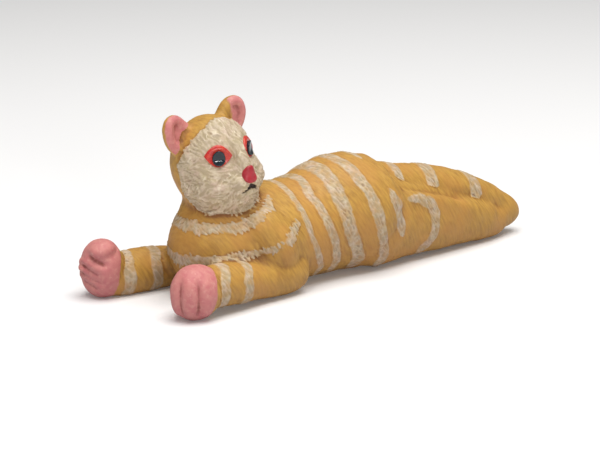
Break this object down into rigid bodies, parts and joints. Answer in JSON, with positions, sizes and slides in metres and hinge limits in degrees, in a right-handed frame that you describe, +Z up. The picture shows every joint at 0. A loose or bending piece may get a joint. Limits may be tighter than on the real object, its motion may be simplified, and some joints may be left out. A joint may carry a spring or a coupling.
{
  "type": "cat figurine",
  "caption": "Small solid painted cat lying on its belly, forelegs stretched ahead, head turned to its left, hind legs and tail drawn out behind into one blunt tip.",
  "frame": {"origin": "centre of the base of the outer box, on the surface the figurine lies on", "axes": "+X towards the tail tip, so the forepaws are at -X; +Z up; the cat's left side and most of its turned face are towards -Y"},
  "size_m": [0.1, 0.0308, 0.0362],
  "materials": {
    "ginger_body": "matt hand-brushed ochre with off-white stripes",
    "face_paint": "matt off-white paint laid on thick, in short strokes, over ochre",
    "ear_paint": "matt ochre outside, pink inside",
    "pink_paw": "matt brushed pink with darker toe grooves",
    "eye_orange": "orange-red, slightly glossy",
    "pupil_gloss": "very dark blue, glossy",
    "nose_crimson": "crimson, satin"
  },
  "bodies": {
    "root": {"torso": "ginger_body", "head": "face_paint", "left_ear": "ear_paint", "right_ear": "ear_paint", "left_foreleg": "ginger_body", "right_foreleg": "ginger_body", "left_forepaw": "pink_paw", "right_forepaw": "pink_paw", "left_hind_leg": "ginger_body", "right_hind_leg": "ginger_body", "tail": "ginger_body", "left_eye": "eye_orange", "right_eye": "eye_orange", "left_pupil": "pupil_gloss", "right_pupil": "pupil_gloss", "nose": "nose_crimson"}
  },
  "joints": []
}
